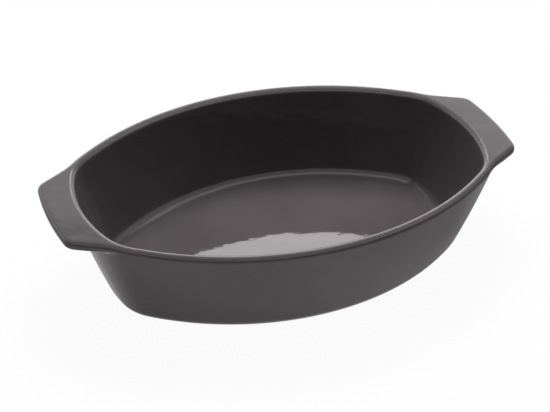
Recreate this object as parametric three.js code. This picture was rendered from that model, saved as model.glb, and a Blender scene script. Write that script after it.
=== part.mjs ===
// Oval oven dish of glazed stoneware with a flat lug handle at each end.
// Millimetres, +Z up. The origin is on the table under the middle of the dish, and the lugs lie along X.
//
// The clay is one casting: floor, flared wall, rounded rim, lugs and foot ring. Three coats of fired glaze
// lie on it face to face. Every surface is a loft of closed rings around the Z axis, and all rings have
// their points on the same set of vertical planes, so clay and glaze share their points where they touch.

import * as THREE from 'three';

// Rim, measured on its outermost edge. The ends of this oval lie inside the lugs.
const OVERALL_LENGTH = 350; // lug tip to lug tip
const HEIGHT = 78; // rim above the table
const RIM_LENGTH = 315.2;
const RIM_WIDTH = 226.2;
const RIM_SIDE_RADIUS = 213; // plan radius of the long sides
const RIM_END_RADIUS = 130; // plan radius of the ends
const RIM_CORNER_RADIUS = 44.5; // plan radius where side and end meet

// Base, measured where the outer wall would meet the table without its rounding
const BASE_LENGTH = 264.4;
const BASE_WIDTH = 173.2;
const BASE_SIDE_RADIUS = 184;
const BASE_END_RADIUS = 121;
const BASE_CORNER_RADIUS = 31.5;

// Wall, floor and rim sections, glaze included
const WALL = 7.7; // measured level
const WALL_BELLY = 1; // swell of the wall at half its height
const FLOOR_HEIGHT = 8.3; // inside floor above the table
const FLOOR_FILLET = 14; // inside, between floor and wall
const HEEL_RADIUS = 12; // outside, between wall and foot
const RIM_INNER_ROUND = 4.5;
const RIM_OUTER_ROUND = 3;

// Lugs, level with the rim
const LUG_TIP_WIDTH = 74.5; // between the lines of the two flanks, at the tip
const LUG_ROOT_WIDTH = 112; // between the same lines, where they cross the rim
const LUG_TIP_RADIUS = 260; // plan radius of the tip edge
const LUG_CORNER_RADIUS = 11;
const LUG_BLEND_RADIUS = 60; // hollow curve from flank to rim
const LUG_THICKNESS = 6.6;
const LUG_ROUND = 2.4; // lower edge of the lug
const LUG_FILLET = 8; // underneath, between lug and wall
const LUG_EASE = 10; // reach past the rim at which the lug has its full section

// Glaze and foot
const GLAZE = 0.5; // thickness of each coat
const GLAZE_LINE = 1; // where the outside coat stops, above the table
const FOOT_INSET = 5.5; // outer edge of the bare foot, in from the base line
const FOOT_WIDTH = 6; // standing face of the foot ring
const RECESS_HEIGHT = 2.4; // clay of the underside above the table
const COVE_WIDTH = 2.2; // slope from the foot up to the recessed underside
const COVE_BARE = 0.7; // bare clay on that slope, below the underside coat

// Facets
const LUG_STEPS = { tip: 2, corner: 4, flank: 1, blend: 3 };
const RIM_STEPS = { corner: 2, side: 6 };
const CORNER_SHARE = 0.1; // least share of the free rim that its corner facets take
const FLOOR_FILLET_STEPS = 5;
const ROUND_STEPS = 3;
const WALL_STEPS = 2;
const HEEL_STEPS = 4;
const RING_GAP = 0.8; // least distance between rings where a lug runs out

const RIGHT_ANGLE = Math.PI / 2;
const mix = THREE.MathUtils.lerp;
const steps = (count) => Array.from({ length: count + 1 }, (_, i) => i / count);

// Mean lean of the wall from upright, at which the fillets are worked out, and the height at which the
// line of the wall reaches the rim's outermost edge
const SPREAD = (RIM_LENGTH - BASE_LENGTH + RIM_WIDTH - BASE_WIDTH) / 4;
const LEAN = Math.atan2(SPREAD, HEIGHT - RIM_OUTER_ROUND);
const WALL_TOP = HEIGHT - RIM_OUTER_ROUND * (1 + Math.tan(LEAN / 2));
const TURN = RIGHT_ANGLE - LEAN; // how far a fillet turns between level and wall
const TANGENT = Math.tan(TURN / 2); // length of a fillet's tangent for a radius of 1

// Plan curves, for the quarter from +X to +Y

const facingVector = (facing) => new THREE.Vector2(Math.cos(facing), Math.sin(facing));

// An oval of arcs, as a function of the direction that its outside faces
function oval(length, width, sideRadius, endRadius, cornerRadius) {
  const endCentre = new THREE.Vector2(length / 2 - endRadius, 0);
  const sideCentre = new THREE.Vector2(0, width / 2 - sideRadius);
  const span = sideCentre.clone().sub(endCentre);
  const distance = span.length();
  const fromEnd = endRadius - cornerRadius;
  const fromSide = sideRadius - cornerRadius;
  const along = (distance ** 2 + fromEnd ** 2 - fromSide ** 2) / (2 * distance);
  const across = Math.sqrt(fromEnd ** 2 - along ** 2);
  const u = span.divideScalar(distance);
  const corner = endCentre.clone().addScaledVector(u, along);
  corner.addScaledVector(new THREE.Vector2(-u.y, u.x), across);
  const endOfEnd = corner.clone().sub(endCentre).angle();
  const startOfSide = corner.clone().sub(sideCentre).angle();
  const at = (facing) => {
    const out = facingVector(facing);
    if (facing < endOfEnd) return out.multiplyScalar(endRadius).add(endCentre);
    if (facing > startOfSide) return out.multiplyScalar(sideRadius).add(sideCentre);
    return out.multiplyScalar(cornerRadius).add(corner);
  };
  return { at, startOfSide };
}

const rim = oval(RIM_LENGTH, RIM_WIDTH, RIM_SIDE_RADIUS, RIM_END_RADIUS, RIM_CORNER_RADIUS);
const base = oval(BASE_LENGTH, BASE_WIDTH, BASE_SIDE_RADIUS, BASE_END_RADIUS, BASE_CORNER_RADIUS);

// Finds the value between low and high at which a rising function passes zero
function solve(low, high, rising) {
  for (let i = 0; i < 60; i += 1) {
    const middle = (low + high) / 2;
    if (rising(middle) > 0) high = middle;
    else low = middle;
  }
  return (low + high) / 2;
}

const onRim = (facing) => ({ point: rim.at(facing), out: facingVector(facing) });

// The outer edge in stretches: tip arc, corner arc and straight flank of the lug, a hollow blend that
// runs onto the rim, and the rest of the rim
function outerEdge() {
  const tip = new THREE.Vector2(OVERALL_LENGTH / 2, LUG_TIP_WIDTH / 2);
  const root = rim.at(solve(0, RIGHT_ANGLE, (facing) => rim.at(facing).y - LUG_ROOT_WIDTH / 2));
  const flank = root.clone().sub(tip).normalize();
  const flankOut = new THREE.Vector2(flank.y, -flank.x);
  const flankFacing = flankOut.angle();
  const flankOffset = flankOut.dot(tip);
  const tipCentre = new THREE.Vector2(tip.x - LUG_TIP_RADIUS, 0);
  const inner = LUG_TIP_RADIUS - LUG_CORNER_RADIUS;
  const cornerSine = (flankOffset - LUG_CORNER_RADIUS - flankOut.dot(tipCentre)) / inner;
  const cornerFacing = Math.asin(cornerSine) - (RIGHT_ANGLE - flankFacing);
  const corner = tipCentre.clone().addScaledVector(facingVector(cornerFacing), inner);
  const blendCentre = (facing) => rim.at(facing).addScaledVector(facingVector(facing), LUG_BLEND_RADIUS);
  const pastFlank = (facing) => flankOut.dot(blendCentre(facing)) - flankOffset - LUG_BLEND_RADIUS;
  const blendFacing = solve(0, flankFacing, pastFlank);
  const blend = blendCentre(blendFacing);
  const sideFacing = Math.max(rim.startOfSide, mix(blendFacing, RIGHT_ANGLE, CORNER_SHARE));
  const flankStart = corner.clone().addScaledVector(flankOut, LUG_CORNER_RADIUS);
  const flankEnd = blend.clone().addScaledVector(flankOut, -LUG_BLEND_RADIUS);
  const arc = (centre, radius, facing) => {
    const out = facingVector(facing);
    return { point: centre.clone().addScaledVector(out, radius), out };
  };
  return [
    { count: LUG_STEPS.tip, at: (t) => arc(tipCentre, LUG_TIP_RADIUS, mix(0, cornerFacing, t)) },
    { count: LUG_STEPS.corner, at: (t) => arc(corner, LUG_CORNER_RADIUS, mix(cornerFacing, flankFacing, t)) },
    { count: LUG_STEPS.flank, at: (t) => ({ point: flankStart.clone().lerp(flankEnd, t), out: flankOut }) },
    { count: LUG_STEPS.blend, at: (t) => arc(blend, -LUG_BLEND_RADIUS, mix(flankFacing, blendFacing, t)) },
    { count: RIM_STEPS.corner, at: (t) => onRim(mix(blendFacing, sideFacing, t)) },
    { count: RIM_STEPS.side, at: (t) => onRim(mix(sideFacing, RIGHT_ANGLE, t)) },
  ];
}

const OUTLINE = outerEdge();

// A point of the outer edge moved in by an inset, with s running over the outline's stretches
function outlinePoint(s, inset) {
  const stretch = Math.min(Math.floor(s), OUTLINE.length - 1);
  const { point, out } = OUTLINE[stretch].at(s - stretch);
  return point.clone().addScaledVector(out, -inset);
}

// Directions of the vertical planes that hold the points of every ring
function quarterBearings() {
  const places = OUTLINE.flatMap(({ count }, i) => steps(count).slice(0, -1).map((t) => i + t));
  return places.map((s) => outlinePoint(s, 0).angle());
}

// Reach from the Z axis, in one of those planes, of the outer edge
function edgeReach(bearing, inset) {
  const s = solve(0, OUTLINE.length, (value) => outlinePoint(value, inset).angle() - bearing);
  return outlinePoint(s, inset).length();
}

// The same of the outside of the wall, or of a surface that lies parallel to it by an inset
function wallReach(bearing, z, inset) {
  const rise = z / WALL_TOP;
  const swell = WALL_BELLY * 4 * rise * (1 - rise);
  const at = (facing) => {
    const point = base.at(facing).lerp(rim.at(facing), rise);
    return point.addScaledVector(facingVector(facing), swell - inset);
  };
  return at(solve(0, RIGHT_ANGLE, (facing) => at(facing).angle() - bearing)).length();
}

// Sections, as lists of reach and height in one plane

// Wall between the last place of a section and a given height
function addWall(section, bearing, end, inset) {
  const start = section.at(-1)[1];
  for (const t of steps(WALL_STEPS).slice(1, -1)) {
    const z = mix(start, end, t);
    section.push([wallReach(bearing, z, inset), z]);
  }
}

// Floor, inner wall and rim, up to the rim's outermost edge
function insideSection(bearing) {
  const section = [];
  for (const t of steps(FLOOR_FILLET_STEPS)) {
    const turn = t * TURN;
    const rise = FLOOR_FILLET * (1 - Math.cos(turn));
    const inset = FLOOR_FILLET * (TANGENT - Math.sin(turn)) + rise * Math.tan(LEAN);
    section.push([wallReach(bearing, FLOOR_HEIGHT + rise, WALL + inset), FLOOR_HEIGHT + rise]);
  }
  addWall(section, bearing, HEIGHT - RIM_INNER_ROUND * (1 - Math.cos(TURN)), WALL);
  for (const t of steps(ROUND_STEPS)) {
    const turn = (1 - t) * TURN;
    const drop = RIM_INNER_ROUND * (1 - Math.cos(turn));
    const inset = RIM_INNER_ROUND * (Math.sin(turn) - TANGENT) - drop * Math.tan(LEAN);
    section.push([wallReach(bearing, HEIGHT - drop, WALL + inset), HEIGHT - drop]);
  }
  const topStart = section.at(-1)[0];
  const topEnd = edgeReach(bearing, RIM_OUTER_ROUND);
  section.push([(topStart + topEnd) / 2, HEIGHT]);
  for (const t of steps(ROUND_STEPS)) {
    const turn = t * RIGHT_ANGLE;
    const inset = RIM_OUTER_ROUND * (1 - Math.sin(turn));
    section.push([edgeReach(bearing, inset), HEIGHT - RIM_OUTER_ROUND * (1 - Math.cos(turn))]);
  }
  return section;
}

// From the outermost edge to the wall: a rounding that turns under as far as the lug stands out, a flat
// underside where there is room for one, and a hollow fillet. Along the plain rim only the rounding is left.
function underEdge(bearing) {
  const edge = edgeReach(bearing, 0);
  const lug = THREE.MathUtils.smoothstep(edge - wallReach(bearing, WALL_TOP, 0), 0, LUG_EASE);
  const round = mix(RIM_OUTER_ROUND, LUG_ROUND, lug);
  const start = HEIGHT - mix(RIM_OUTER_ROUND, LUG_THICKNESS - LUG_ROUND, lug);
  const rounded = (turn) => edgeReach(bearing, round * (1 - Math.cos(turn)));
  const filletEnd = (turn) => start - round * Math.sin(turn) - LUG_FILLET * (Math.sin(turn) - Math.sin(LEAN));
  const room = (turn) => {
    const reach = rounded(turn) - LUG_FILLET * (Math.cos(LEAN) - Math.cos(turn));
    return reach - wallReach(bearing, filletEnd(turn), 0);
  };
  const flat = Math.max(room(RIGHT_ANGLE), 0);
  const most = flat > 0 ? RIGHT_ANGLE : solve(LEAN, RIGHT_ANGLE, (turn) => -room(turn));
  const section = steps(ROUND_STEPS).slice(1).map((t) => [
    rounded(t * most),
    start - round * Math.sin(t * most),
  ]);
  const [reach, level] = section.at(-1);
  const fillet = LUG_FILLET * (most - LEAN);
  const at = (distance) => {
    const along = distance - flat;
    if (along > fillet) {
      const z = filletEnd(most) - (along - fillet) * Math.cos(LEAN);
      return [wallReach(bearing, z, 0), z];
    }
    const turn = most - along / LUG_FILLET;
    const inward = flat + LUG_FILLET * (Math.cos(turn) - Math.cos(most));
    return [reach - inward, level - LUG_FILLET * (Math.sin(most) - Math.sin(turn))];
  };
  let distance = 0;
  for (const t of steps(ROUND_STEPS)) {
    distance = Math.max(flat + t * fillet, distance + RING_GAP);
    section.push(at(distance));
  }
  return section;
}

// Underside of the edge, outer wall and heel, down to the glaze line
function outsideSection(bearing) {
  const section = underEdge(bearing);
  addWall(section, bearing, HEEL_RADIUS * (1 - Math.cos(TURN)), 0);
  const glazeEnd = Math.acos(1 - GLAZE_LINE / HEEL_RADIUS);
  for (const t of steps(HEEL_STEPS)) {
    const turn = mix(TURN, glazeEnd, t);
    const rise = HEEL_RADIUS * (1 - Math.cos(turn));
    const inset = HEEL_RADIUS * (TANGENT - Math.sin(turn)) + rise * Math.tan(LEAN);
    section.push([wallReach(bearing, rise, inset), rise]);
  }
  return section;
}

// Bare foot ring and the slope up to the recessed underside
function footSection(bearing) {
  const foot = FOOT_INSET + FOOT_WIDTH;
  const bareRise = (RECESS_HEIGHT * COVE_BARE) / COVE_WIDTH;
  return [
    [wallReach(bearing, 0, FOOT_INSET), 0],
    [wallReach(bearing, 0, foot), 0],
    [wallReach(bearing, 0, foot + COVE_BARE), bareRise],
    [wallReach(bearing, 0, foot + COVE_WIDTH), RECESS_HEIGHT],
  ];
}

// Rings, one for each place of a section. The quarter is mirrored into the other three.
const QUARTER = quarterBearings();

function ringsOf(section) {
  const quarter = [...QUARTER, RIGHT_ANGLE].map((bearing) => ({ bearing, places: section(bearing) }));
  const mirrored = quarter.slice(1, -1).reverse();
  const half = [
    ...quarter,
    ...mirrored.map(({ bearing, places }) => ({ bearing: Math.PI - bearing, places })),
  ];
  const columns = [
    ...half,
    ...half.map(({ bearing, places }) => ({ bearing: Math.PI + bearing, places })),
  ];
  return quarter[0].places.map((_, i) => columns.map(({ bearing, places }) => {
    const [reach, z] = places[i];
    return new THREE.Vector3(reach * Math.cos(bearing), reach * Math.sin(bearing), z);
  }));
}

// Rings moved along the surface's normal, to give a coat its thickness
function offsetRings(rings, distance) {
  const along = (a, b, c) => {
    const before = b.clone().sub(a).normalize();
    const after = c.clone().sub(b).normalize();
    return before.add(after).normalize();
  };
  return rings.map((ring, i) => ring.map((point, j) => {
    const previous = (rings[i - 1] ?? ring)[j];
    const next = (rings[i + 1] ?? ring)[j];
    const down = along(previous, point, next);
    const around = along(ring.at(j - 1), point, ring[(j + 1) % ring.length]);
    return point.clone().addScaledVector(down.cross(around).normalize(), distance);
  }));
}

const pole = (z) => [new THREE.Vector3(0, 0, z)];

// A closed body skinned over rings in order. A ring of one point is a pole, and mirrored bands have
// their facets split along the other diagonal, so that they match the same band seen from beneath.
function skin(bands) {
  const positions = [];
  const indices = [];
  const numbers = new Map();
  const number = (ring) => {
    if (!numbers.has(ring)) {
      const first = positions.length / 3;
      numbers.set(ring, ring.map((_, i) => first + i));
      ring.forEach((point) => positions.push(...point.toArray()));
    }
    return numbers.get(ring);
  };
  for (const { from, to, mirrored } of bands) {
    const a = number(from);
    const b = number(to);
    const count = Math.max(a.length, b.length);
    for (let j = 0; j < count; j += 1) {
      const k = (j + 1) % count;
      if (a.length === 1) indices.push(a[0], b[j], b[k]);
      else if (b.length === 1) indices.push(a[j], b[0], a[k]);
      else if (mirrored) indices.push(a[j], b[j], a[k], b[j], b[k], a[k]);
      else indices.push(a[j], b[j], b[k], a[j], b[k], a[k]);
    }
  }
  const geometry = new THREE.BufferGeometry();
  geometry.setAttribute('position', new THREE.Float32BufferAttribute(positions, 3));
  geometry.setIndex(indices);
  geometry.computeVertexNormals();
  return geometry;
}

const follow = (rings) => rings.slice(1).map((ring, i) => ({ from: rings[i], to: ring }));
const followBack = (rings) => follow([...rings].reverse()).map((band) => ({ ...band, mirrored: true }));

// Finished surface from the middle of the floor, over the rim and down to the glaze line, and the clay
// one coat beneath it
const inside = ringsOf(insideSection);
const outside = ringsOf(outsideSection);
const clay = offsetRings([...inside, ...outside], -GLAZE);
const clayInside = clay.slice(0, inside.length);
const clayOutside = clay.slice(inside.length);
const floorPole = pole(FLOOR_HEIGHT);
const clayFloorPole = pole(FLOOR_HEIGHT - GLAZE);

// Bare foot, and the clay of the underside with its coat
const foot = ringsOf(footSection);
const [, footEdge, coveStart, recess] = foot;
const recessPole = pole(RECESS_HEIGHT);
const underPole = pole(RECESS_HEIGHT - GLAZE);
const recessMiddle = recess.map((point) => point.clone().lerp(recessPole[0], 1 / 2));
const underCoat = offsetRings([footEdge, coveStart, recess, recessMiddle], GLAZE).slice(1, 3);

function stonewareBody() {
  return skin(follow([clayFloorPole, ...clay, ...foot, recessPole]));
}

function insideGlaze() {
  const edge = { from: inside.at(-1), to: clayInside.at(-1) };
  return skin([...follow([floorPole, ...inside]), edge, ...followBack([clayFloorPole, ...clayInside])]);
}

// The outside coat starts on the rim's outermost edge, where the inside coat ends
function outsideGlaze() {
  const over = [inside.at(-1), ...outside];
  const under = [clayInside.at(-1), ...clayOutside];
  const glazeLine = { from: over.at(-1), to: under.at(-1) };
  const edge = { from: under[0], to: over[0], mirrored: true };
  return skin([...follow(over), glazeLine, ...followBack(under), edge]);
}

function undersideGlaze() {
  const edge = { from: coveStart, to: underCoat[0] };
  return skin([edge, ...follow([...underCoat, underPole]), ...followBack([coveStart, recess, recessPole])]);
}

// Materials: dark charcoal glaze, glossier inside, on buff clay
const charcoal = (roughness) => new THREE.MeshStandardMaterial({ color: 0x4b4648, roughness, metalness: 0 });
const bareClay = new THREE.MeshStandardMaterial({ color: 0xb9a890, roughness: 0.85, metalness: 0 });

const PIECES = [
  ['stoneware_body', stonewareBody(), bareClay],
  ['inside_glaze', insideGlaze(), charcoal(0.14)],
  ['outside_glaze', outsideGlaze(), charcoal(0.18)],
  ['underside_glaze', undersideGlaze(), charcoal(0.25)],
];

const dish = new THREE.Group();
for (const [name, geometry, material] of PIECES) {
  const piece = new THREE.Mesh(geometry, material);
  piece.name = name;
  dish.add(piece);
}

export default dish;
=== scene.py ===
# %% [markdown]
# An oval oven dish of dark glazed stoneware, with a flat lug at each end.
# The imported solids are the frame: they fix where every surface of the dish is. This lesson builds a
# smoother skin over them, gives it fired glaze and bare clay, and lights it as a studio would.

# %% Load the frame
import cmath
import math
from functools import cache

import bmesh
import bpy
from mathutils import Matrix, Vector


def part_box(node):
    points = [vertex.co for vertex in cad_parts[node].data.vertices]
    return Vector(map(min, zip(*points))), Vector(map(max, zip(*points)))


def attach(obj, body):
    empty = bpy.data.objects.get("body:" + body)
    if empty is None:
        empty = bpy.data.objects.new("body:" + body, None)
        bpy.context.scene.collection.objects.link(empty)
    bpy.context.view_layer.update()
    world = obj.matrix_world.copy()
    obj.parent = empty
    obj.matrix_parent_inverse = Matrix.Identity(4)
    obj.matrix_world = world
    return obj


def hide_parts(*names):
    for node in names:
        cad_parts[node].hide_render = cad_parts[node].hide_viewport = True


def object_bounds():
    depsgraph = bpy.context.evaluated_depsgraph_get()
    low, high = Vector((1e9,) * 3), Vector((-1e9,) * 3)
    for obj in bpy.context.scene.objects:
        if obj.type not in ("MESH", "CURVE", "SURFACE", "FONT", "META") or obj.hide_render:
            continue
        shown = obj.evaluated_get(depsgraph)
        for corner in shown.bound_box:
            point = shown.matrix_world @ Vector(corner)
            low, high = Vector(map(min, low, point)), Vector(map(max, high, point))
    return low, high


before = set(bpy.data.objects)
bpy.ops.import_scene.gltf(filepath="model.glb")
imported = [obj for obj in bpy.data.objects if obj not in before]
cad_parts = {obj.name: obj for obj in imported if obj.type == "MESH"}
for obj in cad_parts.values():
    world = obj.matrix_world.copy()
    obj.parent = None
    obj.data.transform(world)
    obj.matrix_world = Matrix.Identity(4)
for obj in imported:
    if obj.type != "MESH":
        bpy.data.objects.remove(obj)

CAD_LOW, CAD_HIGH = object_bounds()
print("solids:", sorted(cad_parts), "box", tuple(CAD_LOW), tuple(CAD_HIGH))

# %% [markdown]
# The sizes that the frame can tell are read from it, so that the skin always fits the solids. The rest
# are the potter's own sizes: plan radii of the oval, wall, roundings and foot. Lengths are metres, and
# MM turns the millimetres in which such a dish is measured into them.

# %% Sizes of the dish
MM = 0.001
OVERALL_LENGTH = CAD_HIGH.x - CAD_LOW.x
HEIGHT = CAD_HIGH.z
RIM_WIDTH = CAD_HIGH.y - CAD_LOW.y
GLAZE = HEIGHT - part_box("stoneware_body")[1].z
FLOOR_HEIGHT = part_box("inside_glaze")[0].z + GLAZE
RECESS_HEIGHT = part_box("underside_glaze")[1].z

RIM_LENGTH = 315.2 * MM
RIM_SIDE_RADIUS = 213 * MM
RIM_END_RADIUS = 130 * MM
RIM_CORNER_RADIUS = 44.5 * MM
BASE_LENGTH = 264.4 * MM
BASE_WIDTH = 173.2 * MM
BASE_SIDE_RADIUS = 184 * MM
BASE_END_RADIUS = 121 * MM
BASE_CORNER_RADIUS = 31.5 * MM

WALL = 7.7 * MM
WALL_BELLY = 1 * MM
FLOOR_FILLET = 14 * MM
HEEL_RADIUS = 12 * MM
RIM_INNER_ROUND = 4.5 * MM
RIM_OUTER_ROUND = 3 * MM

LUG_TIP_WIDTH = 74.5 * MM
LUG_ROOT_WIDTH = 112 * MM
LUG_TIP_RADIUS = 260 * MM
LUG_CORNER_RADIUS = 11 * MM
LUG_BLEND_RADIUS = 60 * MM
LUG_THICKNESS = 6.6 * MM
LUG_ROUND = 2.4 * MM
LUG_FILLET = 8 * MM
LUG_EASE = 10 * MM

GLAZE_LINE = 1 * MM
FOOT_INSET = 5.5 * MM
FOOT_WIDTH = 6 * MM
FOOT_EDGE_ROUND = 0.4 * MM
COVE_WIDTH = 2.2 * MM
COVE_BARE = 0.7 * MM

print("dish %.1f x %.1f x %.1f mm" % (OVERALL_LENGTH / MM, RIM_WIDTH / MM, HEIGHT / MM))

# %% [markdown]
# The camera comes early, because the photograph decides how the dish is seen: a little from the left,
# from about a third of the way up to the zenith, with a long lens. The lens is worked out from the
# focal length in pixels that makes the outline fit the frame of 550 pixels.

# %% Camera
VIEW_AZIMUTH = math.radians(21.52)
VIEW_ELEVATION = math.radians(33.49)
VIEW_DISTANCE = 1.2046
FOCAL_PIXELS = 1629.6
FRAME_PIXELS = 550
SENSOR_WIDTH = 36
AIM_ASIDE = -0.0044
AIM_HEIGHT = 0.0419

view_right = Vector((math.cos(VIEW_AZIMUTH), -math.sin(VIEW_AZIMUTH), 0))
view_back = Vector((
    -math.sin(VIEW_AZIMUTH) * math.cos(VIEW_ELEVATION),
    -math.cos(VIEW_AZIMUTH) * math.cos(VIEW_ELEVATION),
    math.sin(VIEW_ELEVATION),
))
camera_data = bpy.data.cameras.new("photo_camera")
camera_data.sensor_width = SENSOR_WIDTH
camera_data.sensor_fit = "HORIZONTAL"
camera_data.lens = SENSOR_WIDTH * FOCAL_PIXELS / FRAME_PIXELS
camera = bpy.data.objects.new("photo_camera", camera_data)
camera.location = view_right * AIM_ASIDE + Vector((0, 0, AIM_HEIGHT)) + view_back * VIEW_DISTANCE
camera.rotation_euler = view_back.to_track_quat("Z", "Y").to_euler()
bpy.context.scene.collection.objects.link(camera)
bpy.context.scene.camera = camera
print("lens %.1f mm" % camera_data.lens)

# %% [markdown]
# Seen from above, rim and base are ovals of three kinds of arc: a long flat one on each side, a rounder
# one at each end and a tight one at each corner. A plan point is a complex number, x + y j, which
# makes turning and moving it short to write. An oval is asked by the direction in which its outside faces.

# %% Plan of rim and base
RIGHT_ANGLE = math.pi / 2
HALVINGS = 50


def mix(a, b, t):
    return a + (b - a) * t


def steps(count):
    return [i / count for i in range(count + 1)]


def solve(low, high, rising):
    """Finds where a rising function passes zero, by halving the range."""
    for _ in range(HALVINGS):
        middle = (low + high) / 2
        if rising(middle) > 0:
            high = middle
        else:
            low = middle
    return (low + high) / 2


def dot(a, b):
    return (a * b.conjugate()).real


def oval(length, width, side_radius, end_radius, corner_radius):
    """Returns the oval as a function of the facing, and the facing at which its side arc starts."""
    end_centre = complex(length / 2 - end_radius, 0)
    side_centre = complex(0, width / 2 - side_radius)
    span = side_centre - end_centre
    from_end = end_radius - corner_radius
    from_side = side_radius - corner_radius
    along = (abs(span) ** 2 + from_end ** 2 - from_side ** 2) / (2 * abs(span))
    across = math.sqrt(from_end ** 2 - along ** 2)
    corner = end_centre + span / abs(span) * complex(along, across)
    end_stops = cmath.phase(corner - end_centre)
    side_starts = cmath.phase(corner - side_centre)

    def at(facing):
        if facing < end_stops:
            return end_centre + cmath.rect(end_radius, facing)
        if facing > side_starts:
            return side_centre + cmath.rect(side_radius, facing)
        return corner + cmath.rect(corner_radius, facing)

    return at, side_starts


rim, rim_side_starts = oval(RIM_LENGTH, RIM_WIDTH, RIM_SIDE_RADIUS, RIM_END_RADIUS, RIM_CORNER_RADIUS)
base, _ = oval(BASE_LENGTH, BASE_WIDTH, BASE_SIDE_RADIUS, BASE_END_RADIUS, BASE_CORNER_RADIUS)
print("rim's side arc starts at %.1f degrees" % math.degrees(rim_side_starts))

# %% [markdown]
# The lugs are level with the rim and grow out of it: a slightly bowed tip, a tight corner, a straight
# flank, and a hollow curve that runs onto the rim. The outer edge of a quarter of the dish is a chain
# of these stretches. Each gives a point and the direction outwards, and has its own number of columns.

# %% Outer edge with the lugs
COLUMNS = {"tip": 4, "corner": 6, "flank": 3, "blend": 5, "rim_corner": 4, "rim_side": 10}


def outer_edge():
    tip = complex(OVERALL_LENGTH / 2, LUG_TIP_WIDTH / 2)
    root = rim(solve(0, RIGHT_ANGLE, lambda facing: rim(facing).imag - LUG_ROOT_WIDTH / 2))
    flank_out = (root - tip) / abs(root - tip) * -1j
    flank_facing = cmath.phase(flank_out)
    flank_offset = dot(flank_out, tip)
    tip_centre = complex(OVERALL_LENGTH / 2 - LUG_TIP_RADIUS, 0)
    inner = LUG_TIP_RADIUS - LUG_CORNER_RADIUS
    corner_sine = (flank_offset - LUG_CORNER_RADIUS - dot(flank_out, tip_centre)) / inner
    corner_facing = math.asin(corner_sine) - (RIGHT_ANGLE - flank_facing)
    corner = tip_centre + cmath.rect(inner, corner_facing)

    def blend_centre(facing):
        return rim(facing) + cmath.rect(LUG_BLEND_RADIUS, facing)

    def past_flank(facing):
        return dot(flank_out, blend_centre(facing)) - flank_offset - LUG_BLEND_RADIUS

    blend_facing = solve(0, flank_facing, past_flank)
    blend = blend_centre(blend_facing)
    flank_start = corner + flank_out * LUG_CORNER_RADIUS
    flank_end = blend - flank_out * LUG_BLEND_RADIUS

    def arc(centre, radius, start, end):
        def at(t):
            out = cmath.rect(1, mix(start, end, t))
            return centre + out * radius, out
        return at

    def on_rim(start, end):
        def at(t):
            facing = mix(start, end, t)
            return rim(facing), cmath.rect(1, facing)
        return at

    return [
        ("tip", arc(tip_centre, LUG_TIP_RADIUS, 0, corner_facing)),
        ("corner", arc(corner, LUG_CORNER_RADIUS, corner_facing, flank_facing)),
        ("flank", lambda t: (mix(flank_start, flank_end, t), flank_out)),
        ("blend", arc(blend, -LUG_BLEND_RADIUS, flank_facing, blend_facing)),
        ("rim_corner", on_rim(blend_facing, rim_side_starts)),
        ("rim_side", on_rim(rim_side_starts, RIGHT_ANGLE)),
    ]


EDGE = outer_edge()


def edge_point(place, inset):
    """A point of the outer edge moved in by an inset, with place running over the stretches."""
    stretch = min(int(place), len(EDGE) - 1)
    point, out = EDGE[stretch][1](place - stretch)
    return point - out * inset


QUARTER = [
    cmath.phase(edge_point(i + t, 0))
    for i, (name, _) in enumerate(EDGE)
    for t in steps(COLUMNS[name])[:-1]
] + [RIGHT_ANGLE]
print("columns in a quarter:", len(QUARTER) - 1)

# %% [markdown]
# All rings of the skin have their points on the same upright planes through the middle of the dish, as
# the staves of a barrel do. In one such plane a section needs only a reach from the middle and a height.
# The wall flares from base to rim with a slight belly, and the fillets are worked out at its mean lean.

# %% Reach of edge and wall
SPREAD = (RIM_LENGTH - BASE_LENGTH + RIM_WIDTH - BASE_WIDTH) / 4
LEAN = math.atan2(SPREAD, HEIGHT - RIM_OUTER_ROUND)
WALL_TOP = HEIGHT - RIM_OUTER_ROUND * (1 + math.tan(LEAN / 2))
TURN = RIGHT_ANGLE - LEAN
TANGENT = math.tan(TURN / 2)


def edge_reach(bearing, inset):
    """How far out the edge is at a bearing, after an inset."""
    place = solve(0, len(EDGE), lambda value: cmath.phase(edge_point(value, inset)) - bearing)
    return abs(edge_point(place, inset))


def wall_reach(bearing, z, inset):
    """How far out the wall is at a bearing and height. Its belly is fullest at half height."""
    rise = z / WALL_TOP
    swell = WALL_BELLY * 4 * rise * (1 - rise)

    def at(facing):
        return mix(base(facing), rim(facing), rise) + cmath.rect(swell - inset, facing)

    return abs(at(solve(0, RIGHT_ANGLE, lambda facing: cmath.phase(at(facing)) - bearing)))


print("wall leans %.1f degrees" % math.degrees(LEAN))

# %% [markdown]
# The inside runs from the floor through a generous rounding up the wall and over the rim to its outermost
# edge. Next to each rounding lies one more ring on the flat, close to it: such a support ring keeps the
# flat parts flat when the skin is smoothed, so that they mirror the studio without a bend.

# %% Section of the inside
FLOOR_RINGS = (0.3, 0.6, 0.85)
SUPPORT = 0.5 * MM
SEAM_SUPPORT = 0.05 * MM
FLOOR_FILLET_STEPS = 10
WALL_STEPS = 6
ROUND_STEPS = 6


def wall_between(bearing, start, end, inset):
    heights = [mix(start, end, t) for t in steps(WALL_STEPS)[1:-1]]
    return [(wall_reach(bearing, z, inset), z) for z in heights]


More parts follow.
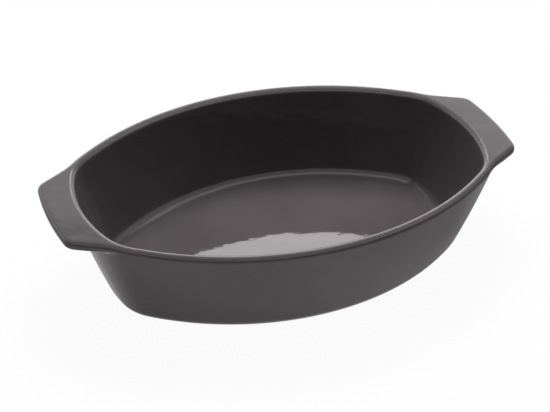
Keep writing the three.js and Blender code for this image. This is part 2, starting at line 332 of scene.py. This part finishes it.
@cache
def inside_section(bearing):
    floor_edge = wall_reach(bearing, FLOOR_HEIGHT, WALL + FLOOR_FILLET * TANGENT)
    section = [(floor_edge * share, FLOOR_HEIGHT) for share in FLOOR_RINGS]
    section.append((floor_edge - SUPPORT, FLOOR_HEIGHT))
    for t in steps(FLOOR_FILLET_STEPS):
        rise = FLOOR_FILLET * (1 - math.cos(t * TURN))
        inset = FLOOR_FILLET * (TANGENT - math.sin(t * TURN)) + rise * math.tan(LEAN)
        section.append((wall_reach(bearing, FLOOR_HEIGHT + rise, WALL + inset), FLOOR_HEIGHT + rise))
    wall_end = HEIGHT - RIM_INNER_ROUND * (1 - math.cos(TURN))
    section += wall_between(bearing, section[-1][1], wall_end, WALL)
    for t in steps(ROUND_STEPS):
        turn = (1 - t) * TURN
        drop = RIM_INNER_ROUND * (1 - math.cos(turn))
        inset = RIM_INNER_ROUND * (math.sin(turn) - TANGENT) - drop * math.tan(LEAN)
        section.append((wall_reach(bearing, HEIGHT - drop, WALL + inset), HEIGHT - drop))
    top_start = section[-1][0]
    top_end = edge_reach(bearing, RIM_OUTER_ROUND)
    support = min(SUPPORT, (top_end - top_start) / 4)
    for reach in (top_start + support, (top_start + top_end) / 2, top_end - support):
        section.append((reach, HEIGHT))
    for t in steps(ROUND_STEPS):
        turn = t * RIGHT_ANGLE
        inset = RIM_OUTER_ROUND * (1 - math.sin(turn))
        section.append((edge_reach(bearing, inset), HEIGHT - RIM_OUTER_ROUND * (1 - math.cos(turn))))
    parting = section[-1]
    section.insert(-1, (parting[0], parting[1] + SEAM_SUPPORT))
    return section


print("rings of the inside:", len(inside_section(0)))

# %% [markdown]
# Under the edge the section changes along the rim. At a lug it turns right under, runs level, and meets the
# wall in a hollow fillet where the fingers go. Along the plain rim only the rounding is left. One rule
# covers both: the rounding turns as far as the room between edge and wall allows.

# %% Section of the outside
UNDER_STEPS = 6
HEEL_STEPS = 8
RING_GAP = 0.4 * MM


def smoothstep(value):
    t = min(max(value, 0), 1)
    return t * t * (3 - 2 * t)


def under_edge(bearing):
    edge = edge_reach(bearing, 0)
    lug = smoothstep((edge - wall_reach(bearing, WALL_TOP, 0)) / LUG_EASE)
    rounding = mix(RIM_OUTER_ROUND, LUG_ROUND, lug)
    start = HEIGHT - mix(RIM_OUTER_ROUND, LUG_THICKNESS - LUG_ROUND, lug)

    def rounded(turn):
        return edge_reach(bearing, rounding * (1 - math.cos(turn))), start - rounding * math.sin(turn)

    def fillet_end(turn):
        return rounded(turn)[1] - LUG_FILLET * (math.sin(turn) - math.sin(LEAN))

    def room(turn):
        reach = rounded(turn)[0] - LUG_FILLET * (math.cos(LEAN) - math.cos(turn))
        return reach - wall_reach(bearing, fillet_end(turn), 0)

    flat = max(room(RIGHT_ANGLE), 0)
    most = RIGHT_ANGLE if flat > 0 else solve(LEAN, RIGHT_ANGLE, lambda turn: -room(turn))
    seam = HEIGHT - RIM_OUTER_ROUND - SEAM_SUPPORT
    section = [(edge, seam), (edge, min(start, seam - SEAM_SUPPORT))]
    section += [rounded(t * most) for t in steps(UNDER_STEPS)[1:]]
    reach, level = section[-1]
    fillet = LUG_FILLET * (most - LEAN)

    def past_rounding(distance):
        along = distance - flat
        if along > fillet:
            z = fillet_end(most) - (along - fillet) * math.cos(LEAN)
            return wall_reach(bearing, z, 0), z
        turn = most - max(along, 0) / LUG_FILLET
        inward = min(distance, flat) + LUG_FILLET * (math.cos(turn) - math.cos(most))
        return reach - inward, level - LUG_FILLET * (math.sin(most) - math.sin(turn))

    wanted = [min(SUPPORT, flat / 3), flat - min(SUPPORT, flat / 3)]
    wanted += [flat + t * fillet for t in steps(UNDER_STEPS)]
    distance = 0
    for target in wanted:
        distance = max(target, distance + RING_GAP)
        section.append(past_rounding(distance))
    return section


def heel_place(bearing, turn):
    rise = HEEL_RADIUS * (1 - math.cos(turn))
    inset = HEEL_RADIUS * (TANGENT - math.sin(turn)) + rise * math.tan(LEAN)
    return wall_reach(bearing, rise, inset), rise


@cache
def outside_section(bearing):
    section = under_edge(bearing)
    section += wall_between(bearing, section[-1][1], heel_place(bearing, TURN)[1], 0)
    glaze_end = math.acos(1 - GLAZE_LINE / HEEL_RADIUS)
    section += [heel_place(bearing, mix(TURN, glaze_end, t)) for t in steps(HEEL_STEPS)]
    return [inside_section(bearing)[-1]] + section


print("rings of the outside:", len(outside_section(0)))

# %% [markdown]
# A dish cannot be fired standing on wet glaze, because it would stick to the kiln shelf. So the potter wipes
# a narrow ring clean: the foot. Inside it the underside is recessed a little and glazed again.

# %% Section of foot and underside
FOOT_ROUND_STEPS = 3
UNDERSIDE_RINGS = (0.98, 0.7, 0.35)


@cache
def foot_section(bearing):
    foot_in = FOOT_INSET + FOOT_WIDTH
    turn_in = FOOT_EDGE_ROUND
    section = [outside_section(bearing)[-1]]
    for t in steps(FOOT_ROUND_STEPS):
        drop = turn_in * (1 - math.sin(t * RIGHT_ANGLE))
        inset = turn_in * (1 - math.cos(t * RIGHT_ANGLE))
        section.append((wall_reach(bearing, 0, FOOT_INSET - turn_in + inset), drop))
    section.append((wall_reach(bearing, 0, foot_in - turn_in), 0))
    section.append((wall_reach(bearing, 0, foot_in), turn_in / 4))
    section.append((wall_reach(bearing, 0, foot_in + COVE_BARE), RECESS_HEIGHT * COVE_BARE / COVE_WIDTH))
    return section


def underside_section(bearing):
    recess = wall_reach(bearing, 0, FOOT_INSET + FOOT_WIDTH + COVE_WIDTH)
    section = [foot_section(bearing)[-1]]
    section.append((recess + SUPPORT, RECESS_HEIGHT * (1 - SUPPORT / COVE_WIDTH)))
    section.append((recess, RECESS_HEIGHT))
    section += [(recess * share, RECESS_HEIGHT) for share in UNDERSIDE_RINGS]
    return section


print("rings of the foot and underside:", len(foot_section(0)), len(underside_section(0)))

# %% [markdown]
# Now the sections become rings. Only a quarter is worked out, and the other three are its mirror images.
# By hand one would start from a circle, give it the shape of the first ring and extrude it ring by ring.
# The loop below does just that: it extrudes the open edge and puts the new points on the next ring.

# %% Skin by extruding rings
ANGLE_SLACK = 0.0001


def ring_columns(section):
    """Bearings all round the dish, each with the places of its section."""
    quarter = [(bearing, section(bearing)) for bearing in QUARTER]
    half = quarter + [(math.pi - bearing, places) for bearing, places in quarter[-2:0:-1]]
    return half + [(math.pi + bearing, places) for bearing, places in half]


def rings_of(section):
    columns = ring_columns(section)
    count = len(columns[0][1])

    def place(bearing, reach, z):
        return Vector((reach * math.cos(bearing), reach * math.sin(bearing), z))

    return [[place(bearing, *places[i]) for bearing, places in columns] for i in range(count)]


def put_on_ring(ring):
    """Moves the selected points in edit mode onto a ring, each on its own upright plane."""
    mesh = bpy.context.object.data
    bm = bmesh.from_edit_mesh(mesh)
    chosen = [v for v in bm.verts if v.select]
    chosen.sort(key=lambda v: (math.atan2(v.co.y, v.co.x) + ANGLE_SLACK) % math.tau)
    for v, place in zip(chosen, ring, strict=True):
        v.co = place
    bmesh.update_edit_mesh(mesh)


def skin(name, section, starts_full=False, ends_full=False):
    """An open skin through the rings of a section. A full end is closed by one flat face."""
    rings = rings_of(section)
    bpy.ops.object.select_all(action="DESELECT")
    bpy.ops.mesh.primitive_circle_add(
        vertices=len(rings[0]), radius=OVERALL_LENGTH, fill_type="NGON" if starts_full else "NOTHING")
    piece = bpy.context.object
    piece.name = piece.data.name = name
    bpy.ops.object.mode_set(mode="EDIT")
    bpy.ops.mesh.select_mode(type="VERT")
    bpy.ops.mesh.select_all(action="SELECT")
    put_on_ring(rings[0])
    for ring in rings[1:]:
        bpy.ops.mesh.extrude_edges_move()
        put_on_ring(ring)
    if ends_full:
        bpy.ops.mesh.edge_face_add()
    bpy.ops.mesh.select_all(action="SELECT")
    bpy.ops.mesh.normals_make_consistent(inside=False)
    outwards = (rings[1][0] - rings[0][0]).cross(rings[0][1] - rings[0][0])
    bm = bmesh.from_edit_mesh(piece.data)
    middle = (rings[0][0] + rings[1][1]) / 2
    nearest = min(bm.faces, key=lambda face: (face.calc_center_median() - middle).length)
    if nearest.normal.dot(outwards) < 0:
        bpy.ops.mesh.flip_normals()
    bpy.ops.object.mode_set(mode="OBJECT")
    print(name, len(rings), "rings", len(piece.data.polygons), "faces")
    return piece


inside_coat = skin("inside_glaze_coat", inside_section, starts_full=True)
outside_coat = skin("outside_glaze_coat", outside_section)
foot_skin = skin("foot_skin", foot_section)
underside_coat = skin("underside_glaze_coat", underside_section, ends_full=True)

# %% [markdown]
# The rings are close together, so one level of Subdivision Surface is enough to round off what facets
# are left without drawing the shape in. It is applied here, because the coats are given their thickness
# after it, and a coat that is smoothed afterwards would lose its crisp edge.

# %% Smooth the skins


def only(piece):
    bpy.ops.object.select_all(action="DESELECT")
    piece.select_set(True)
    bpy.context.view_layer.objects.active = piece


def finish_with(piece, kind, **settings):
    """Adds a modifier with these settings and applies it."""
    only(piece)
    modifier = piece.modifiers.new(kind.lower(), kind)
    for name, value in settings.items():
        setattr(modifier, name, value)
    bpy.ops.object.modifier_apply(modifier=modifier.name)


for piece in (inside_coat, outside_coat, foot_skin, underside_coat):
    finish_with(piece, "SUBSURF", levels=1, render_levels=1)
    print(piece.name, len(piece.data.polygons), "faces")

# %% [markdown]
# The clay is the same skin, one coat of glaze further in. Copies of the three glazed skins are joined to
# the foot, their seams are merged, and what lies under the inside and outside glaze is shrunk by the
# thickness of the coat. The bare foot and the recess stay where they are. From outside only the foot is
# seen, but the casting is a whole body, as in the kiln.

# %% Clay body
MERGE_DISTANCE = 0.001 * MM


def copy_of(piece):
    only(piece)
    bpy.ops.object.duplicate()
    return bpy.context.object


def clay_body():
    glazed = [copy_of(inside_coat), copy_of(outside_coat)]
    for part in glazed:
        only(part)
        bpy.ops.object.vertex_group_add()
        part.vertex_groups.active.name = "glazed"
        bpy.ops.object.mode_set(mode="EDIT")
        bpy.ops.mesh.select_all(action="SELECT")
        bpy.ops.object.vertex_group_assign()
        bpy.ops.object.mode_set(mode="OBJECT")
    recess = copy_of(underside_coat)
    only(foot_skin)
    for part in (*glazed, recess):
        part.select_set(True)
    bpy.ops.object.join()
    body = bpy.context.object
    body.name = body.data.name = "stoneware_casting"
    bpy.ops.object.mode_set(mode="EDIT")
    bpy.ops.mesh.select_mode(type="VERT")
    bpy.ops.mesh.select_all(action="SELECT")
    bpy.ops.mesh.remove_doubles(threshold=MERGE_DISTANCE)
    bpy.ops.mesh.normals_make_consistent(inside=False)
    bpy.ops.mesh.select_all(action="DESELECT")
    body.vertex_groups.active = body.vertex_groups["glazed"]
    bpy.ops.object.vertex_group_select()
    bpy.ops.transform.shrink_fatten(value=-GLAZE, use_even_offset=True)
    bpy.ops.object.mode_set(mode="OBJECT")
    bpy.ops.object.vertex_group_remove(all=True)
    return body


stoneware_body = clay_body()
print(stoneware_body.name, len(stoneware_body.data.polygons), "faces", tuple(stoneware_body.dimensions))

# %% [markdown]
# Each coat of glaze is a shell. Solidify gives the skins their half millimetre: into the clay's place for
# the inside and outside, whose skins are the finished surface, and away from the clay for the underside,
# whose skin is the clay itself. Then the faces are shaded smooth, except across sharp edges.

# %% Coats of glaze
INWARDS = -1
OUTWARDS = 1
for coat, direction in ((inside_coat, INWARDS), (outside_coat, INWARDS), (underside_coat, OUTWARDS)):
    finish_with(coat, "SOLIDIFY", thickness=GLAZE, offset=direction, use_even_offset=True)
    print(coat.name, len(coat.data.polygons), "faces", tuple(coat.dimensions))

SHARP = math.radians(40)
for piece in (inside_coat, outside_coat, underside_coat, stoneware_body):
    only(piece)
    bpy.ops.object.shade_smooth_by_angle(angle=SHARP)

# %% [markdown]
# Molten glaze draws back from sharp edges, so on a rim it is thinner and paler. Where the edges are is a
# matter of shape, so it is measured on the mesh: how much the surface turns outwards over the length of
# each edge. The result is kept on every point as an attribute that the glaze can read.

# %% Where the glaze thins
CURVE_FULL = 1 / (4 * MM)
CURVE_NONE = 1 / (9 * MM)
SHORT_EDGE = RING_GAP / 4
THIN_ATTRIBUTE = "thin_glaze"


def mark_thin_glaze(piece):
    mesh = piece.data
    normals = [normal.vector.copy() for normal in mesh.vertex_normals]
    curve = [0.0] * len(mesh.vertices)
    for edge in mesh.edges:
        a, b = edge.vertices
        along = mesh.vertices[b].co - mesh.vertices[a].co
        if along.length < SHORT_EDGE or edge.use_edge_sharp:
            continue
        bend = (normals[b] - normals[a]).dot(along) / along.length_squared
        curve[a] = max(curve[a], bend)
        curve[b] = max(curve[b], bend)
    thin = mesh.attributes.new(THIN_ATTRIBUTE, "FLOAT", "POINT")
    for value, bend in zip(thin.data, curve):
        value.value = smoothstep((bend - CURVE_NONE) / (CURVE_FULL - CURVE_NONE))
    print(piece.name, sum(value.value > 0 for value in thin.data), "points with thinner glaze")


for coat in (inside_coat, outside_coat, underside_coat):
    mark_thin_glaze(coat)

# %% [markdown]
# A material is a tree of nodes. A few helpers keep such trees short to write: one adds a node, one a noise
# pattern, one maps a range of values softly onto another, and the rest do sums and mix colours. A constant
# is set on the socket that needs it, so it takes no node of its own.

# %% Node helpers
RANGE_SOCKETS = ("From Min", "From Max", "To Min", "To Max")
MIX_COLOURS = slice(6, 8)
MIX_RESULT = 2


def node(tree, kind, **settings):
    made = tree.nodes.new(kind)
    for name, value in settings.items():
        setattr(made, name, value)
    return made


def noise(tree, vector, scale, detail):
    texture = node(tree, "ShaderNodeTexNoise")
    texture.inputs["Scale"].default_value = scale
    texture.inputs["Detail"].default_value = detail
    tree.links.new(vector, texture.inputs["Vector"])
    return texture.outputs["Fac"]


def remap(tree, value, *marks):
    """Maps a value softly. The marks are the range it comes from, then the results at its two ends."""
    mapped = node(tree, "ShaderNodeMapRange", interpolation_type="SMOOTHSTEP")
    for name, mark in zip(RANGE_SOCKETS, marks, strict=True):
        mapped.inputs[name].default_value = mark
    tree.links.new(value, mapped.inputs["Value"])
    return mapped.outputs["Result"]


def math_node(tree, operation, a, b):
    made = node(tree, "ShaderNodeMath", operation=operation)
    for socket, value in zip(made.inputs, (a, b)):
        if isinstance(value, (int, float)):
            socket.default_value = value
        else:
            tree.links.new(value, socket)
    return made.outputs["Value"]


def product(tree, result, *factors):
    for factor in factors:
        result = math_node(tree, "MULTIPLY", result, factor)
    return result


def mix_colour(tree, factor, a, b):
    """Mixes two colours, each of them a socket or a plain colour."""
    made = node(tree, "ShaderNodeMix", data_type="RGBA")
    tree.links.new(factor, made.inputs["Factor"])
    for socket, colour in zip(made.inputs[MIX_COLOURS], (a, b)):
        if isinstance(colour, tuple):
            socket.default_value = colour
        else:
            tree.links.new(colour, socket)
    return made.outputs[MIX_RESULT]


print("a soft range is set by", RANGE_SOCKETS)

# %% [markdown]
# All three coats are the same charcoal glaze, fired at once, so its look is one node group. It puts out a
# colour that drifts a little where the glaze pooled, with fine dark and pale specks of iron and ash. Its
# roughness drifts too, and is higher on the edges, where thin glaze fires drier. Its height is for the
# faint waves and the finer peel that any dipped glaze keeps.

# %% Glaze group
POOL_SCALE = 14
POOL_DETAIL = 4
POOL_MARKS = (0.35, 0.65, 0, 1)
THIN_SHARE = 0.6
SPECK_SCALE = 420
SPECK_DETAIL = 2
PALE_SPECKS = (0.66, 0.78, 0, 0.25)
DARK_SPECKS = (0.3, 0.2, 0, 0.35)
DRIFT_SCALE = 42
DRIFT_DETAIL = 3
DRIFT_MARKS = (0.3, 0.7, 0.85, 1.2)
THIN_ROUGHNESS = 0.12
WAVE_SCALE = 55
PEEL_SCALE = 200
WAVE_DETAIL = 1
PEEL_SHARE = 0.14
GLAZE_SOCKETS = (
    ("Vector", "INPUT", "NodeSocketVector"),
    ("Pooled Colour", "INPUT", "NodeSocketColor"),
    ("Even Colour", "INPUT", "NodeSocketColor"),
    ("Thin Colour", "INPUT", "NodeSocketColor"),
    ("Thin", "INPUT", "NodeSocketFloat"),
    ("Gloss Roughness", "INPUT", "NodeSocketFloat"),
    ("Waves", "INPUT", "NodeSocketFloat"),
    ("Colour", "OUTPUT", "NodeSocketColor"),
    ("Roughness", "OUTPUT", "NodeSocketFloat"),
    ("Height", "OUTPUT", "NodeSocketFloat"),
)


def fired_glaze_group():
    tree = bpy.data.node_groups.new("fired_glaze", "ShaderNodeTree")
    for name, way, kind in GLAZE_SOCKETS:
        tree.interface.new_socket(name=name, in_out=way, socket_type=kind)
    given = node(tree, "NodeGroupInput").outputs
    result = node(tree, "NodeGroupOutput").inputs
    pooled = remap(tree, noise(tree, given["Vector"], POOL_SCALE, POOL_DETAIL), *POOL_MARKS)
    colour = mix_colour(tree, pooled, given["Even Colour"], given["Pooled Colour"])
    colour = mix_colour(tree, product(tree, given["Thin"], THIN_SHARE), colour, given["Thin Colour"])
    specks = noise(tree, given["Vector"], SPECK_SCALE, SPECK_DETAIL)
    colour = mix_colour(tree, remap(tree, specks, *PALE_SPECKS), colour, given["Thin Colour"])
    colour = mix_colour(tree, remap(tree, specks, *DARK_SPECKS), colour, given["Pooled Colour"])
    tree.links.new(colour, result["Colour"])
    drift = remap(tree, noise(tree, given["Vector"], DRIFT_SCALE, DRIFT_DETAIL), *DRIFT_MARKS)
    gloss = product(tree, given["Gloss Roughness"], drift)
    dry = product(tree, given["Thin"], THIN_ROUGHNESS)
    tree.links.new(math_node(tree, "ADD", gloss, dry), result["Roughness"])
    peel = product(tree, noise(tree, given["Vector"], PEEL_SCALE, WAVE_DETAIL), PEEL_SHARE)
    waves = math_node(tree, "ADD", noise(tree, given["Vector"], WAVE_SCALE, WAVE_DETAIL), peel)
    tree.links.new(product(tree, waves, given["Waves"]), result["Height"])
    return tree


fired_glaze = fired_glaze_group()
print(fired_glaze.name, [item.name for item in fired_glaze.interface.items_tree])

# %% [markdown]
# A glaze material places the group, feeds it the object's own coordinates and the thin-glaze attribute, and
# hands the results to a Principled shader. The inside is the glossiest. The outside is a little softer and
# less wavy, and the thin coat under the dish is the driest.

# %% Glaze finishes
POOLED = (0.083, 0.073, 0.0755, 1)
EVEN = (0.097, 0.0855, 0.0882, 1)
THIN = (0.112, 0.0995, 0.1015, 1)
GLOSS_TINT = (1, 0.94, 0.96, 1)
GLAZE_IOR = 1.5
WAVE_STRENGTH = 1
WAVE_DEPTH = 0.16 * MM


def new_material(name):
    material = bpy.data.materials.new(name)
    material.use_nodes = True
    tree = material.node_tree
    return material, tree, tree.nodes["Principled BSDF"]


def bump(tree, height, strength, depth):
    made = node(tree, "ShaderNodeBump")
    made.inputs["Strength"].default_value = strength
    made.inputs["Distance"].default_value = depth
    tree.links.new(height, made.inputs["Height"])
    return made.outputs["Normal"]


def glaze_material(name, roughness, waves):
    material, tree, shader = new_material(name)
    group = node(tree, "ShaderNodeGroup", node_tree=fired_glaze)
    coordinates = node(tree, "ShaderNodeTexCoord")
    thin = node(tree, "ShaderNodeAttribute", attribute_name=THIN_ATTRIBUTE)
    group.inputs["Pooled Colour"].default_value = POOLED
    group.inputs["Even Colour"].default_value = EVEN
    group.inputs["Thin Colour"].default_value = THIN
    group.inputs["Gloss Roughness"].default_value = roughness
    group.inputs["Waves"].default_value = waves
    tree.links.new(coordinates.outputs["Object"], group.inputs["Vector"])
    tree.links.new(thin.outputs["Fac"], group.inputs["Thin"])
    normal = bump(tree, group.outputs["Height"], WAVE_STRENGTH, WAVE_DEPTH)
    tree.links.new(group.outputs["Colour"], shader.inputs["Base Color"])
    tree.links.new(group.outputs["Roughness"], shader.inputs["Roughness"])
    tree.links.new(normal, shader.inputs["Normal"])
    shader.inputs["IOR"].default_value = GLAZE_IOR
    shader.inputs["Specular Tint"].default_value = GLOSS_TINT
    return material


inside_finish = glaze_material("inside_glaze", roughness=0.035, waves=1)
outside_finish = glaze_material("outside_glaze", roughness=0.06, waves=0.4)
underside_finish = glaze_material("underside_glaze", roughness=0.2, waves=1)
print([finish.name for finish in (inside_finish, outside_finish, underside_finish)])

# %% [markdown]
# Bare stoneware needs its own small tree: buff clay that the kiln toasted here and there, with iron specks,
# matt, and gritty to the touch. The grit is far too fine to model, so it is a bump.

# %% Clay finish
BUFF_CLAY = (0.48, 0.39, 0.28, 1)
TOASTED_CLAY = (0.36, 0.27, 0.18, 1)
IRON = (0.1, 0.07, 0.05, 1)
CLAY_ROUGHNESS = 0.85
TOAST_SCALE = 60
TOAST_DETAIL = 5
IRON_SCALE = 900
IRON_DETAIL = 2
IRON_SPECKS = (0.68, 0.76, 0, 0.8)
GRIT_SCALE = 1400
GRIT_DETAIL = 3
GRIT_STRENGTH = 0.6
GRIT_DEPTH = 0.1 * MM


def stoneware_material():
    material, tree, shader = new_material("bare_stoneware")
    place = node(tree, "ShaderNodeTexCoord").outputs["Object"]
    colour = mix_colour(tree, noise(tree, place, TOAST_SCALE, TOAST_DETAIL), BUFF_CLAY, TOASTED_CLAY)
    specks = remap(tree, noise(tree, place, IRON_SCALE, IRON_DETAIL), *IRON_SPECKS)
    normal = bump(tree, noise(tree, place, GRIT_SCALE, GRIT_DETAIL), GRIT_STRENGTH, GRIT_DEPTH)
    tree.links.new(mix_colour(tree, specks, colour, IRON), shader.inputs["Base Color"])
    tree.links.new(normal, shader.inputs["Normal"])
    shader.inputs["Roughness"].default_value = CLAY_ROUGHNESS
    return material


clay_finish = stoneware_material()
print(clay_finish.name, len(clay_finish.node_tree.nodes), "nodes")

# %% [markdown]
# Each finished piece gets its material and takes the place of the solid that it was built over. A dish
# has no joints, so all of it rides on the one body of the frame.

# %% Dress the pieces


def dress(piece, material, slot, *nodes):
    piece.data.materials.clear()
    piece.data.materials.append(material)
    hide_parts(*nodes)
    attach(piece, "root")


dress(stoneware_body, clay_finish, "bare_stoneware", "stoneware_body")
dress(inside_coat, inside_finish, "inside_glaze", "inside_glaze")
dress(outside_coat, outside_finish, "outside_glaze", "outside_glaze")
dress(underside_coat, underside_finish, "underside_glaze", "underside_glaze")

# %% [markdown]
# The table is white. The camera sees it as nearly plain white with the dish's shadow, and the light that
# falls on the dish meets an ordinary pale surface, so a white picture costs no extra light. In the gloss of
# the glaze the table shows as a glow of painted light: paler in front, and a painted grey of half light at
# the sides and to the right.

# %% Table
TABLE_RADIUS = 4
TABLE_CORNERS = 96
TABLE_PALE = (0.8, 0.8, 0.8, 1)
TABLE_ROUGHNESS = 0.9
WHITE = (1, 1, 1, 1)
TABLE_GLOSS_TINT = (1, 0.93, 0.95, 1)
TABLE_SEEN_WHITE = 0.95
TABLE_GLOSS_WHITE = 0.9
# Painted light on the table as the gloss sees it: brighter in front, a painted grey of half light further
# back and to the right.
TABLE_GLOSS_PAINTED_FRONT = (-0.1, -0.04, 0.81, 0.52)
TABLE_GLOSS_PAINTED_RIGHT = (0, 0.15, 1, 0.55)


def table_material():
    material, tree, pale = new_material("white_table")
    pale.inputs["Base Color"].default_value = TABLE_PALE
    pale.inputs["Roughness"].default_value = TABLE_ROUGHNESS
    white = node(tree, "ShaderNodeEmission")
    blend = node(tree, "ShaderNodeMixShader")
    path = node(tree, "ShaderNodeLightPath").outputs
    seen = product(tree, path["Is Camera Ray"], TABLE_SEEN_WHITE)
    gloss = math_node(tree, "MAXIMUM", path["Is Glossy Ray"], path["Is Transmission Ray"])
    gloss = product(tree, gloss, TABLE_GLOSS_WHITE)
    tree.links.new(math_node(tree, "MAXIMUM", seen, gloss), blend.inputs[0])
    place = node(tree, "ShaderNodeSeparateXYZ")
    tree.links.new(node(tree, "ShaderNodeTexCoord").outputs["Object"], place.inputs[0])
    # The table's glow in the gloss is painted light: paler in front, a painted grey of half light towards
    # the back and the right.
    front = remap(tree, place.outputs["Y"], *TABLE_GLOSS_PAINTED_FRONT)
    painted_gloss_light = product(tree, front, remap(tree, place.outputs["X"], *TABLE_GLOSS_PAINTED_RIGHT))
    tree.links.new(math_node(tree, "MAXIMUM", painted_gloss_light, path["Is Camera Ray"]), white.inputs["Strength"])
    tint = mix_colour(tree, path["Is Camera Ray"], TABLE_GLOSS_TINT, WHITE)
    tree.links.new(tint, white.inputs["Color"])
    tree.links.new(pale.outputs[0], blend.inputs[1])
    tree.links.new(white.outputs[0], blend.inputs[2])
    tree.links.new(blend.outputs[0], tree.nodes["Material Output"].inputs["Surface"])
    return material


bpy.ops.object.select_all(action="DESELECT")
bpy.ops.mesh.primitive_circle_add(vertices=TABLE_CORNERS, radius=TABLE_RADIUS, fill_type="NGON")
table = bpy.context.object
table.name = "table"
table.data.materials.append(table_material())
print("table of", TABLE_RADIUS, "m")

# %% [markdown]
# A glossy dark glaze shows its surroundings more than its own colour, so the room is drawn as the gloss
# should find it. Behind the dish is a pale sweep, whitest low down, which fades upwards and to both sides.
# On the camera's side is a grey wall with one paler band high up, which draws the fine line along the
# rounding of the floor. The camera sees plain white, and only a little of the room's light reaches the clay.

# %% Room
ROOM_FILL = 0.03
ROOM_DIM = 0.15
TOWARDS_BACK = (0.1, 0.65, 0, 1)
TOWARDS_FRONT = (-0.1, 0.1, 1, 0)
SWEEP_UPWARDS = (0.32, 0.57, 2.1, 0.66)
SWEEP_LEFT = (-0.1, 0.19, 0.45, 1)
SWEEP_RIGHT = (0.43, 0.58, 1, 0.45)
SWEEP_EDGE = (0.55, 0.574, 1, 0.4)
SWEEP_TOP = (0.62, 0.9, 1, 0)
BAND_HEIGHTS = (0.63, 0.69, 0.76, 0.82)
BAND_LEVEL = 0.95
WALL_HEIGHTS = (0.2, 0.4, 0.7, 0.96)
WALL_LEVEL = 0.65


def between(tree, value, low, low_full, high_full, high):
    """1 where the value lies between the two full marks, falling to 0 at the outer ones."""
    return product(tree, remap(tree, value, low, low_full, 0, 1), remap(tree, value, high_full, high, 1, 0))


def mirrored_room(tree):
    """How bright the gloss finds the room in each direction."""
    direction = node(tree, "ShaderNodeSeparateXYZ")
    tree.links.new(node(tree, "ShaderNodeTexCoord").outputs["Generated"], direction.inputs[0])
    right, back, up = direction.outputs
    sweep = product(
        tree,
        remap(tree, up, *SWEEP_UPWARDS),
        remap(tree, right, *SWEEP_LEFT),
        remap(tree, right, *SWEEP_RIGHT),
        remap(tree, up, *SWEEP_EDGE),
        remap(tree, up, *SWEEP_TOP),
        remap(tree, back, *TOWARDS_BACK),
    )
    band = product(tree, between(tree, up, *BAND_HEIGHTS), BAND_LEVEL)
    wall = product(tree, between(tree, up, *WALL_HEIGHTS), WALL_LEVEL)
    front = product(tree, math_node(tree, "ADD", band, wall), remap(tree, back, *TOWARDS_FRONT))
    return math_node(tree, "ADD", math_node(tree, "ADD", sweep, front), ROOM_DIM)


room = bpy.data.worlds.new("white_room")
room.use_nodes = True
bpy.context.scene.world = room
tree = room.node_tree
path = node(tree, "ShaderNodeLightPath").outputs
gloss = math_node(tree, "MAXIMUM", path["Is Glossy Ray"], path["Is Transmission Ray"])
fill = product(tree, math_node(tree, "SUBTRACT", 1, gloss), ROOM_FILL)
strength = math_node(tree, "ADD", product(tree, gloss, mirrored_room(tree)), fill)
strength = math_node(tree, "MAXIMUM", strength, path["Is Camera Ray"])
tree.links.new(strength, tree.nodes["Background"].inputs["Strength"])
tree.nodes["Background"].inputs["Color"].default_value = WHITE
print(room.name, len(tree.nodes), "nodes")

# %% [markdown]
# Three soft boxes light the dish. The key hangs high behind it, so that level faces are bright and the inner
# wall towards the camera stays dark. It lights the glaze without showing in it. Behind the dish stands a
# bright box at the height of the mirrored line of sight: the near part of the floor reflects it over the
# far rim. A weak card just behind it reaches higher, and lifts the floor around that bright patch.

# %% Lights


def soft_box(name, place, aim, width, height, radiance):
    data = bpy.data.lights.new(name, "AREA")
    data.shape = "RECTANGLE"
    data.size = width
    data.size_y = height
    data.energy = math.pi * width * height * radiance
    lamp = bpy.data.objects.new(name, data)
    lamp.location = place
    lamp.rotation_euler = (Vector(place) - Vector(aim)).to_track_quat("Z", "Y").to_euler()
    lamp.visible_camera = False
    bpy.context.scene.collection.objects.link(lamp)
    return lamp


def from_dish(azimuth, elevation, distance):
    """A place seen from the dish at these degrees, azimuth from +Y towards +X."""
    a = math.radians(azimuth)
    e = math.radians(elevation)
    return Vector((math.sin(a) * math.cos(e), math.cos(a) * math.cos(e), math.sin(e))) * distance


def upright_card(name, distance, aside, low, high, width, radiance):
    """A card that stands behind the dish as the camera sees it, square to the line of sight."""
    view_forward = Vector((math.sin(VIEW_AZIMUTH), math.cos(VIEW_AZIMUTH), 0))
    middle = Vector((0, 0, (low + high) / 2))
    place = view_forward * distance + view_right * aside + middle
    return soft_box(name, place, place - view_forward, width, high - low, radiance)


key_place = from_dish(azimuth=22, elevation=65, distance=1.3)
key = soft_box("key_box", key_place, aim=(0, 0, 0), width=0.9, height=0.6, radiance=14.2)
key.visible_glossy = False
upright_card("bright_box", distance=1.5, aside=-0.018, low=0.95, high=1.115, width=0.385, radiance=3.4)
upright_card("glow_card", distance=1.52, aside=0.02, low=0.95, high=1.35, width=0.56, radiance=0.5)
print("key at", tuple(key.location))

# %% Finish
bpy.context.scene.view_settings.view_transform = "Standard"
